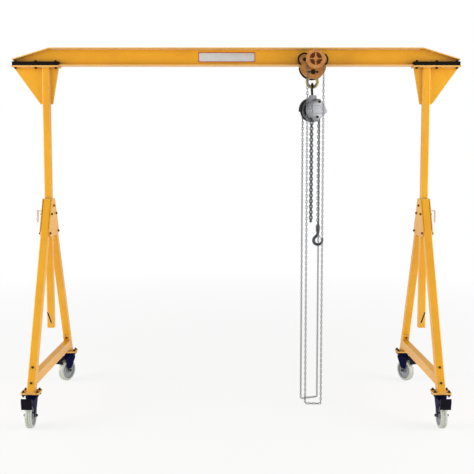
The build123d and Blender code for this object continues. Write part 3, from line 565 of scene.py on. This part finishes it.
lips = []
flangeLow, flangeHigh = boxOf("beam_bottom_flange")
for side, sign in sides:
    low, high = boxOf(f"{side}_clamp_bars")
    for face in (-1, 1):
        near = max(high[1], flangeHigh[1]) - midY + lip["gap"] * mm
        y = sorted((midY + face * near, midY + face * (near + lip["wall"] * mm)))
        lips.append(barRun((low[0], y[0], flangeLow[2] + lip["under"] * mm), (high[0], y[1], high[2]), lip["corner"]))
addPiece("clamp_lips", "upper_frame", "blackEnamel", "black_steel", *lips)


# Trolley: wheel flanges, side plates with axles and boss, and the hand wheel's hollow, dark with painted shade, with
# its spokes

# radius and distance from the beam's plane
flangeLine = [(41, 47.4), (56.6, 47.4), (58, 48.4), (58, 51.4), (56.8, 52.4), (48, 52.4), (46.5, 51.2), (41, 51.2)]
for end, face in (("front", -1), ("rear", 1)):
    for side, sign in sides:
        addPiece(f"trolley_{end}_{side}_flange", f"trolley_{end}_{side}_roller", "blackenedSteel", "dark_iron",
                 copies(lathed(48, flangeLine, True),
                        (trolley["x"] + sign * trolley["spread"], midY, trolley["axleZ"]),
                        frames((0, face, 0), (1, 0, 0))))

# side plates: a wide round lower end and two round noses at the wheel axles, both plates alike
sidePlate = dict(middle=2.905, low=113.0, high=64.0, drop=-14.0, nose=43.0, noseUp=34.3, blend=26.0, inner=55.0,
                 outer=63.0, round=1.6, narrowFrom=0.25, narrowOver=0.5)


def plateOutline(count):
    # distance out at angle a: the lower circle, which narrows above the middle, and the noses, by a high power sum
    a = 2 * pi * np.arange(count) / count
    ease = np.clip((sidePlate["narrowFrom"] - np.sin(a)) / sidePlate["narrowOver"], 0, 1)
    wide = sidePlate["high"] + (sidePlate["low"] - sidePlate["high"]) * ease ** 2 * (3 - 2 * ease)
    total = np.zeros(count)
    side = trolley["spread"] / mm
    for x, z, radius in ((0, sidePlate["drop"], wide), (side, sidePlate["noseUp"], sidePlate["nose"]),
                         (-side, sidePlate["noseUp"], sidePlate["nose"])):
        along, off = x * np.cos(a) + z * np.sin(a), x * np.sin(a) - z * np.cos(a)
        out = along + np.sqrt(np.clip(radius ** 2 - off ** 2, 0, None))
        total += np.where((np.abs(off) < radius) & (out > 0), out, 0) ** sidePlate["blend"]
    return a, total ** (1 / sidePlate["blend"])


a, out = plateOutline(144)
# both rims are cut back by shares of the rounding
c = sidePlate["round"]
inset = np.array([0.5 * c, 0, 0, 0.3 * c, c])
depth = np.array([sidePlate["inner"], sidePlate["inner"] + 0.5 * c, sidePlate["outer"] - c,
                  sidePlate["outer"] - 0.3 * c, sidePlate["outer"]])
r = out[None] - inset[:, None]
shell = np.stack([r * np.cos(a), r * np.sin(a), np.broadcast_to(depth[:, None], r.shape)], -1) * mm
plateMiddle = (trolley["x"], midY, sidePlate["middle"])
# wheel axles reach in from the plates towards the web, and a boss on the near plate carries the hand wheel
axleLine = [(9.2, 13.5), (10, 14.3), (10, 56)]
bossLine = [(10.3, 62), (20, 62), (20, 79.2), (19.2, 80), (10.3, 80)]
axle = lathed(24, axleLine)
axleUp = trolley["axleZ"] - sidePlate["middle"]
plateParts = [ringSurface(shell, False)]
plateParts += [copies(axle, (k * trolley["spread"], axleUp, 0), np.eye(3)) for k in (-1, 1)]
bossSpot = (driveSpot[0] - trolley["x"], driveSpot[2] - sidePlate["middle"], 0)
boss = copies(lathed(36, bossLine, True), bossSpot, np.eye(3))
nearAxes, farAxes = (frames((0, k, 0), (-k, 0, 0)) for k in (-1, 1))
addPiece("trolley_round_plates", "trolley", "copperPlate", "bronze_enamel",
         copies(joined(plateParts + [boss]), plateMiddle, nearAxes), copies(joined(plateParts), plateMiddle, farAxes),
         stands=["trolley_side_plates"])

drive = dict(inner=18.3, outer=52.6, floor=4.7, wall=0.6, holeAt=37.0, hole=12.6, deep=7.6, lip=1.8,
             spokeIn=15.0, spokeOut=54.0, spokeUp=7.0, spokeWide=5.0, spokeDeep=3.2)
# polar grid sunk inside four round holes: depth eases from 0 to deep across the hole's lip
r = np.linspace(drive["inner"], drive["outer"], 28)[:, None]
a = 2 * pi * np.arange(112)[None] / 112
fromHole = np.hypot(r * np.cos((a % (pi / 2)) - pi / 4) - drive["holeAt"], r * np.sin((a % (pi / 2)) - pi / 4))
dip = np.clip((drive["hole"] - fromHole) / drive["lip"], 0, 1)
front = drive["floor"] - drive["deep"] * dip ** 2 * (3 - 2 * dip)
face = np.stack([r * np.cos(a), r * np.sin(a), front], -1)
hollow = ringSurface(np.concatenate([face, (face - (0, 0, drive["wall"]))[::-1]])[::-1] * mm, True)
driveAxes = frames((0, -1, 0), (1, 0, 0))
# a dark copper sheet in the hand wheel's hollow: painted shade
addPiece("hand_wheel_hollow_shade", "trolley_drive", "copperHollowShade", "bronze_enamel",
         copies(hollow, driveSpot, driveAxes))
reachOut = np.linspace(drive["spokeIn"], drive["spokeOut"], 6)
spoke = swept(np.stack([reachOut, 0 * reachOut, 0 * reachOut + drive["spokeUp"]], -1) * mm, (0, 0, 1),
              drive["spokeWide"] * mm, drive["spokeDeep"] * mm, 10, False)
turned = np.stack([np.stack([cos(t) * driveAxes[0][0] + sin(t) * driveAxes[0][1],
                             cos(t) * driveAxes[0][1] - sin(t) * driveAxes[0][0], driveAxes[0][2]])
                   for t in np.arange(4) * pi / 2])
addPiece("hand_wheel_spokes", "trolley_drive", "copperEnamel", "bronze_enamel",
         copies(spoke, np.tile(driveSpot, (4, 1)), turned))


# Hoist: lobed gear cover with its panel, bolts, and the black band and ribs round the body

cover = dict(radius=78.0, lobeAt=70.0, lobe=23.0, angles=(80, -8, 262, 190), blend=30.0, panel=(112.0, 61.0),
             panelDepth=(80.0, 85.0), corner=14.0, frame=(122.0, 71.0), frameDepth=(79.4, 81.2), frameCorner=19.0,
             face=79.8, bolts=((10, 66), (-9, -62)), screws=((71, -10), (-69, -12)))
# how far in from the outline, and how far forward of the hoist's axis
coverLine = [(0, 38.2), (0, 50), (1.2, 51.4), (2.4, 52), (2.4, 66), (3.2, 71.5), (6, 76.4), (10.5, 79.2), (15, 79.9)]


def lobedOutline(count):
    # distance out at angle a: a circle and four lobes, blended by a high power sum
    a = 2 * pi * np.arange(count) / count
    total = np.full(count, cover["radius"] ** cover["blend"])
    for angle in np.radians(cover["angles"]):
        off = cover["lobeAt"] * np.sin(a - angle)
        out = cover["lobeAt"] * np.cos(a - angle) + np.sqrt(np.clip(cover["lobe"] ** 2 - off ** 2, 0, None))
        total += np.where((np.abs(off) < cover["lobe"]) & (np.cos(a - angle) > 0), out, 0) ** cover["blend"]
    return a, total ** (1 / cover["blend"])


a, out = lobedOutline(120)
inset, ahead = np.array(coverLine).T
r = out[None] - inset[:, None]
shell = np.stack([r * np.cos(a), r * np.sin(a), np.broadcast_to(ahead[:, None], r.shape)], -1) * mm
hoistAxes = frames(-hoistAxle, hoistRun)
hoistMiddle = hoistSpot(0, 0, 0)
addPiece("gear_cover_casting", "hoist", "blastedAluminium", "cast_aluminium",
         copies(ringSurface(shell, False), hoistMiddle, hoistAxes),
         stands=["hoist_gear_cover"])
# a darker frame standing just out round the panel: painted shade outlining it
w, h = cover["frame"]
addPiece("gear_cover_shade_frame", "hoist", "shadedCastAluminium", "cast_aluminium",
         copies(plateShape(w, h, cover["frameCorner"], *cover["frameDepth"]), hoistMiddle, hoistAxes))
w, h = cover["panel"]
addPiece("gear_cover_panel", "hoist", "blastedAluminium", "cast_aluminium",
         copies(plateShape(w, h, cover["corner"], *cover["panelDepth"]), hoistMiddle, hoistAxes))
addPiece("cover_bolts", "hoist", "blackenedSteel", "dark_iron",
         boltRow("cover", [hoistSpot(x, -cover["face"], z) for x, z in cover["bolts"]], -hoistAxle))
addPiece("cover_screws", "hoist", "brightZinc", "zinc_plate",
         boltRow("screw", [hoistSpot(x, -cover["face"], z) for x, z in cover["screws"]], -hoistAxle))


band = dict(inner=79.5, outer=83.0, back=-21.5, ahead=4.0, start=-50.0, end=230.0, corner=1.0, ribOuter=82.4,
            ribs=(14.0, 26.0), ribHalf=2.5)


def bandRun(outer, back, ahead):
    # rectangular section with cut corners, carried round the hoist's axis from start to end
    inner, c = band["inner"], band["corner"]
    section = np.array([(inner, back), (outer - c, back), (outer, back + c), (outer, ahead - c), (outer - c, ahead),
                        (inner, ahead)])
    a = np.radians(np.linspace(band["end"], band["start"], 60))[:, None]
    rings = np.stack([section[:, 0] * np.cos(a), section[:, 0] * np.sin(a),
                      np.broadcast_to(section[:, 1], (len(a), len(section)))], -1) * mm
    return copies(ringSurface(rings, False), hoistMiddle, hoistAxes)


addPiece("hoist_brake_band", "hoist", "blackEnamel", "black_steel",
         bandRun(band["outer"], band["back"], band["ahead"]))
addPiece("hoist_body_ribs", "hoist", "blastedAluminium", "cast_aluminium",
         *[bandRun(band["ribOuter"], at - band["ribHalf"], at + band["ribHalf"]) for at in band["ribs"]])
print("trolley and hoist dressed")


# Casters: swivel race, wheel with cast core and tread ring, axle washers and nuts

caster = dict(trail=0.036, axleZ=0.100, forkHalf=0.0375, turn=dict(front=0.0, rear=28.0))
# radius and half width of the wheel, from the bore out; the other half mirrors it
coreLine = [(8.3, 29), (14, 29), (15, 27.6), (18, 27.6), (19, 29), (25, 29), (26.4, 27.5), (27.6, 13), (31, 11.2),
            (43, 11), (44, 12.6), (47.5, 12.6), (48.5, 11), (65, 11), (69, 12.6), (73, 21.5), (75.5, 24.4), (82, 25)]
treadLine = [(81.6, 24.8), (83, 26), (89, 26), (93.5, 24.8), (97, 22), (99.2, 18), (100, 13), (100, 4.6),
             (99, 3.6), (97, 2.6), (96.2, 0.8)]
washerLine = [(17.4, 0), (18, 0.5), (18, 1.7), (17.4, 2.2)]
raceLine = [(40, 232.2), (45.8, 232.2), (47.6, 234.2), (48.0, 240.0), (46.6, 244.6), (45.4, 246.2), (46.8, 248.0),
            (47.8, 252.0), (47.6, 258.6), (45.8, 261.4), (40, 261.4)]


def mirroredLine(line):
    # out along the near side, over the tread and back along the far side
    line = np.array(line)
    return np.concatenate([line * (1, -1), line[::-1]])


for side, sign in sides:
    for end, face in (("front", -1), ("rear", 1)):
        name = f"{side}_{end}"
        a = radians(-90 + sign * caster["turn"][end])
        ahead, lateral = np.array([cos(a), sin(a), 0]), np.array([-sin(a), cos(a), 0])
        pivot = np.array([sign * crane["postX"], midY + face * crane["legFootY"], 0])
        hub = pivot + caster["trail"] * ahead + (0, 0, caster["axleZ"])
        axes = frames(lateral, (0, 0, 1))
        addPiece(f"{name}_wheel_core", f"{name}_roller", "greyNylon", "nylon",
                 copies(lathed(56, mirroredLine(coreLine), True), hub, axes), stands=[f"{name}_wheel"])
        addPiece(f"{name}_wheel_tread", f"{name}_roller", "castNylon", "nylon",
                 copies(lathed(56, mirroredLine(treadLine), True), hub, axes))
        nuts = np.array([hub + k * caster["forkHalf"] * lateral for k in (-1, 1)])
        outward = np.array([-lateral, lateral])
        addPiece(f"{name}_axle_washers", f"{name}_caster", "brightZinc", "zinc_plate",
                 copies(lathed(28, washerLine), nuts, frames(outward, (0, 0, 1))))
        addPiece(f"{name}_axle_nuts", f"{name}_caster", "tumbledSteel", "dark_steel",
                 boltRow("caster", nuts + outward * washerLine[-1][1] * mm, outward))
        addPiece(f"{name}_swivel_race", f"{name}_caster", "navyEnamel", "navy_enamel",
                 copies(lathed(48, raceLine), pivot, np.eye(3)))
print("casters dressed")


# Hooks: an oval bar that swells at the bowl, carried along the hook's centre line

def easedRun(start, startWay, end, endWay, count):
    # cubic curve that leaves start along startWay and reaches end along endWay
    t = np.linspace(0, 1, count)[:, None]
    return ((2 * t ** 3 - 3 * t ** 2 + 1) * np.array(start) + (t ** 3 - 2 * t ** 2 + t) * np.array(startWay)
            + (3 * t ** 2 - 2 * t ** 3) * np.array(end) + (t ** 3 - t ** 2) * np.array(endWay))


loadHook = dict(bowl=25.0, back=49.0, shift=3.0, neck=(89.0, 76.0, 62.0), neckWide=13.5, ease=34.0, depth=11.0,
                tipDepth=9.5, axis=(0.70394, 0.05832, 1.40941), collarUp=0.0765, pin=(0.006, 0, 0.041))
# bowl: the line midway between the throat circle and the outer circle, half as wide as they are apart
turns = np.radians(np.linspace(125, 364, 40))
bowlLine = np.stack([(loadHook["shift"] + (loadHook["bowl"] + loadHook["back"]) * np.cos(turns)) / 2,
                     (loadHook["bowl"] + loadHook["back"]) / 2 * np.sin(turns)], -1)
bowlWide = (loadHook["back"] - loadHook["bowl"] - loadHook["shift"] * np.cos(turns)) / 2
neckLine = easedRun((0, loadHook["neck"][2]), (0, -loadHook["ease"]), bowlLine[0],
                    loadHook["ease"] * np.array([-0.82, -0.57]), 12)
tipLine = np.array([(38.4, 8.0), (38.1, 12.5), (37.7, 16.0), (37.4, 18.2), (37.2, 19.2)])
hookLine = np.concatenate([[(0, z) for z in loadHook["neck"][:2]], neckLine[:-1], bowlLine, tipLine])
neck, deep = loadHook["neckWide"], loadHook["depth"]
hookWide = np.concatenate([[neck, neck], np.linspace(neck, bowlWide[0], 11), bowlWide, [10.4, 9.8, 8.2, 5.6, 2.4]])
bowlDeep = np.interp(turns, turns[[0, 24, -1]], (deep, deep, loadHook["tipDepth"]))
hookDeep = np.concatenate([np.full(13, deep), bowlDeep, [9.2, 8.6, 7.2, 5.0, 2.2]])
hookPath = np.array(loadHook["axis"]) + np.stack([hookLine[:, 0], 0 * hookWide, hookLine[:, 1]], -1) * mm
hookBar = swept(hookPath, (0, 1, 0), hookWide * mm, hookDeep * mm, 14, False)
collar = copies(lathed(20, [(11, 0), (15.5, 0.6), (17, 2.5), (17, 8), (15, 10.5), (11, 12)]),
                np.array(loadHook["axis"]) + (0, 0, loadHook["collarUp"]), np.eye(3))
pin = copies(lathed(12, [(2.4, -13.6), (3, -13), (3, 13), (2.4, 13.6)]),
             np.array(loadHook["axis"]) + loadHook["pin"], frames((0, 1, 0), (1, 0, 0)))
addPiece("load_hook_forging", "lower_hook", "tumbledSteel", "dark_steel", hookBar, collar, pin, stands=["load_hook"])

topHook = dict(centre=(0.645, 2.71296), radius=28.0, shank=68.0, ease=44.0, wide=11.0, deep=10.0)
turns = np.radians(np.linspace(-22, 180, 34))
bowlLine = topHook["radius"] * np.stack([np.cos(turns), np.sin(turns)], -1)
shankLine = easedRun((0, -topHook["shank"]), (0, topHook["ease"]), bowlLine[0],
                     topHook["ease"] * np.array([0.37, 0.93]), 14)
tipLine = np.array([(-28, -6), (-27.8, -11), (-27.4, -14), (-27.2, -15.8)])
hookLine = np.concatenate([shankLine[:-1], bowlLine, tipLine])
plain = len(hookLine) - len(tipLine)
hookWide = np.concatenate([np.full(plain, topHook["wide"]), [10.4, 8.6, 5.8, 2.6]])
hookDeep = np.concatenate([np.full(plain, topHook["deep"]), [9.4, 7.8, 5.2, 2.4]])
hookPath = np.stack([0 * hookWide + topHook["centre"][0], midY + hookLine[:, 0] * mm,
                     topHook["centre"][1] + hookLine[:, 1] * mm], -1)
addPiece("top_hook_forging", "hoist", "blackenedSteel", "dark_steel",
         swept(hookPath, (1, 0, 0), hookWide * mm, hookDeep * mm, 14, False), stands=["top_hook"])
print("hooks forged")


# Blank plate on the web: a red-edged sheet on four rivets

plate = dict(middle=(-0.080, 2.965), size=(480.0, 84.0), border=6.0, corner=8.0, sheetCorner=4.0,
             borderDepth=(0.0, 1.6), sheetDepth=(1.2, 2.1), rivetIn=14.0, rivetSeat=1.8)
plateAxes = frames((0, -1, 0), (1, 0, 0))
plateSpot = np.array([plate["middle"][0], midY - crane["halfWeb"], plate["middle"][1]])
w, h = plate["size"]
addPiece("blank_plate_border", "upper_frame", "redInk", "yellow_paint",
         copies(plateShape(w, h, plate["corner"], *plate["borderDepth"]), plateSpot, plateAxes))
addPiece("blank_plate", "upper_frame", "paleSheet", "zinc_plate",
         copies(plateShape(w - 2 * plate["border"], h - 2 * plate["border"], plate["sheetCorner"],
                           *plate["sheetDepth"]), plateSpot, plateAxes))
rivet = lathed(14, [(4, 0), (4, 0.8), (3.4, 1.6), (2.0, 2.2), (0.6, 2.4)])
inX, inZ = w / 2 - plate["rivetIn"], h / 2 - plate["rivetIn"]
rivetSpots = [plateSpot + np.array([i * inX, -plate["rivetSeat"], j * inZ]) * mm for i in (-1, 1) for j in (-1, 1)]
addPiece("blank_plate_rivets", "upper_frame", "brightZinc", "zinc_plate", copies(rivet, rivetSpots, plateAxes))


# Weld beads: a round bead along each seam, its radius rippling once per drop of metal

weld = dict(radius=3.2, drop=7.0, ripple=0.14, perDrop=4, startShare=0.35, taper=40.0, gussetDrop=0.306,
            gussetHalf=0.0062, legX=0.033, legY=0.0362, lift=0.001, gussets=((0.030, 0.270), (-0.030, -0.107)))


def beadRun(start, end):
    # radius r (1 + ripple cos(2 pi s / drop)) along the straight seam, smaller towards both ends
    start, end = np.array(start, float), np.array(end, float)
    length = np.linalg.norm(end - start)
    t = np.linspace(0, 1, max(4, int(length / (weld["drop"] * mm) * weld["perDrop"])))
    r = weld["radius"] * mm * (1 + weld["ripple"] * np.cos(2 * pi * t * length / (weld["drop"] * mm)))
    r = r * np.minimum(1, weld["startShare"] + weld["taper"] * np.minimum(t, 1 - t))
    flat = frames(end - start, (0.3, 0.5, 0.8))[0][0]
    return swept(start + t[:, None] * (end - start), flat, r, r, 6, False)


def beadLoop(corners):
    # one run from each corner to the next, and back to the first
    corners = [np.array(c, float) for c in corners]
    return [beadRun(a, b) for a, b in zip(corners, corners[1:] + corners[:1])]


around = ((-1, -1), (1, -1), (1, 1), (-1, 1))
beamBeads, slotShades = [], []
# dark sheet inside the post, seen through its slot: painted shade of the post's hollow
slotShade = dict(size=(49.0, 130.0), corner=2.0, wall=1.5, inside=0.0228, z=0.740)
for side, sign in sides:
    x, z = sign * crane["postX"], plateUnder
    low, top = z - weld["gussetDrop"], z - weld["lift"]
    for near, far in weld["gussets"]:      # from the post's side to the gusset's end
        for face in (-1, 1):
            y = midY + face * weld["gussetHalf"]
            beamBeads.append(beadRun((x + sign * near, y, low), (x + sign * near, y, top - weld["lift"])))
            beamBeads.append(beadRun((x + sign * near, y, top), (x + sign * far, y, top)))
    for face in (-1, 1):
        slotShades.append(copies(plateShape(*slotShade["size"], slotShade["corner"], 0.0, slotShade["wall"]),
                             (x, midY + face * slotShade["inside"], slotShade["z"]), frames((0, face, 0), (-face, 0, 0))))
    half = crane["postHalf"]
    beamBeads += beadLoop([(x + i * half, midY + j * half, top) for i, j in around])
    legBeads = []
    for face in (-1, 1):
        y, seam = midY + face * crane["legFootY"], crane["footTop"] + weld["lift"]
        legBeads += beadLoop([(x + i * weld["legX"], y + j * weld["legY"], seam) for i, j in around])
    addPiece(f"{side}_leg_welds", f"{side}_leg_frame", "yellowEnamel", "yellow_paint", *legBeads)
addPiece("beam_welds", "upper_frame", "yellowEnamel", "yellow_paint", *beamBeads)
# the dark sheets in the posts are painted shade
addPiece("slot_shade_sheets", "upper_frame", "oiledSteel", "dark_iron", *slotShades)

root = dict(radius=4.6, lowerHalf=1.480, upperHalf=1.555)


def rootRun(y, z, outY, outZ, half):
    # concave quarter round between web and flange, drawn out along the beam
    r = root["radius"] * mm
    a = np.linspace(0, pi / 2, 7)
    arc = np.stack([y + outY * r * (1 - np.sin(a)), z + outZ * r * (1 - np.cos(a))], -1)
    ring = np.concatenate([[(y, z)], arc])
    if outY * outZ > 0:
        ring = ring[::-1]
    return alongX(ring, -half, half)


flangeUnder = float(boxOf("beam_top_flange")[1][2]) - crane["flange"]
addPiece("beam_root_radii", "upper_frame", "yellowEnamel", "yellow_paint",
         *[rootRun(midY + k * crane["halfWeb"], flangeTop, k, 1, root["lowerHalf"]) for k in (-1, 1)],
         *[rootRun(midY + k * crane["halfWeb"], flangeUnder, k, -1, root["upperHalf"]) for k in (-1, 1)])
print("plate, welds and beam radii done")


# Studio: pale floor, white surround and a large soft lamp on each side, a little in front

studio = dict(floor="f4f4f2", floorHalf=60.0, near=0.80, fade=(2.5, 9.0), surround=0.46, mirrors=0.2, lampSize=6.0,
              lampPower=530.0, lampAt=(7.5, -2.4, 2.4), aim=(0, 0, 1.6))


def whiteRays(tree, mirrors):
    # one where the camera or glass looks, and the given share where a mirror does: white there, and lights nothing
    ray = addNode(tree, "LightPath")
    glossy = addNode(tree, "Math", {"operation": "MULTIPLY", 1: mirrors}, {0: (ray, "Is Glossy Ray")})
    first = addNode(tree, "Math", {"operation": "MAXIMUM"},
                    {0: (ray, "Is Camera Ray"), 1: (glossy, "Value")})
    return addNode(tree, "Math", {"operation": "MAXIMUM"},
                   {0: (first, "Value"), 1: (ray, "Is Transmission Ray")})


bpy.ops.mesh.primitive_plane_add(size=2 * studio["floorHalf"])
ground = bpy.context.object
ground.name = "studio_floor"
paper = bpy.data.materials.new("studioPaper")
paper.use_nodes = True
tree = paper.node_tree
tree.nodes.clear()
seen = whiteRays(tree, 1.0)
spot = addNode(tree, "TexCoord")
away = addNode(tree, "VectorMath", {"operation": "LENGTH"}, {0: (spot, "Object")})
# the floor keeps its shadow near the crane and turns white further off
fade = addNode(tree, "MapRange", {"From Min": studio["fade"][0], "From Max": studio["fade"][1],
                                            "To Min": studio["near"], "To Max": 1.0}, {"Value": (away, "Value")})
whiter = addNode(tree, "Math", {"operation": "MULTIPLY"}, {0: (seen, "Value"), 1: (fade, "Result")})
matt = addNode(tree, "BsdfDiffuse", {"Color": linear(studio["floor"])})
white = addNode(tree, "Emission", {"Color": (1, 1, 1, 1), "Strength": 1.0})
paperShader = addNode(tree, "MixShader", {},
                      {0: (whiter, "Value"), 1: (matt, "BSDF"), 2: (white, "Emission")})
addNode(tree, "OutputMaterial", {}, {"Surface": (paperShader, "Shader")})
ground.data.materials.append(paper)

world = bpy.data.worlds.new("studio")
bpy.context.scene.world = world
world.use_nodes = True
tree = world.node_tree
tree.nodes.clear()
seen = whiteRays(tree, studio["mirrors"])
level = addNode(tree, "MapRange", {"To Min": studio["surround"], "To Max": 1.0}, {"Value": (seen, "Value")})
sky = addNode(tree, "Background", {"Color": (1, 1, 1, 1)}, {"Strength": (level, "Result")})
addNode(tree, "OutputWorld", {}, {"Surface": (sky, "Background")})


def addLamp(name, place, target, size, power):
    # a square lamp at place that shines towards target
    lamp = bpy.data.lights.new(name, "AREA")
    lamp.size = size
    lamp.energy = power
    holder = bpy.data.objects.new(name, lamp)
    holder.location = place
    axes = frames(np.array(place) - np.array(target), (1, 0, 0))[0]
    holder.rotation_euler = Matrix(axes.T.tolist()).to_euler()
    bpy.context.scene.collection.objects.link(holder)


for k in (-1, 1):
    x, y, z = studio["lampAt"]
    addLamp("left_lamp" if k < 0 else "right_lamp", (k * x, y, z), studio["aim"], studio["lampSize"],
            studio["lampPower"])
print("studio ready")
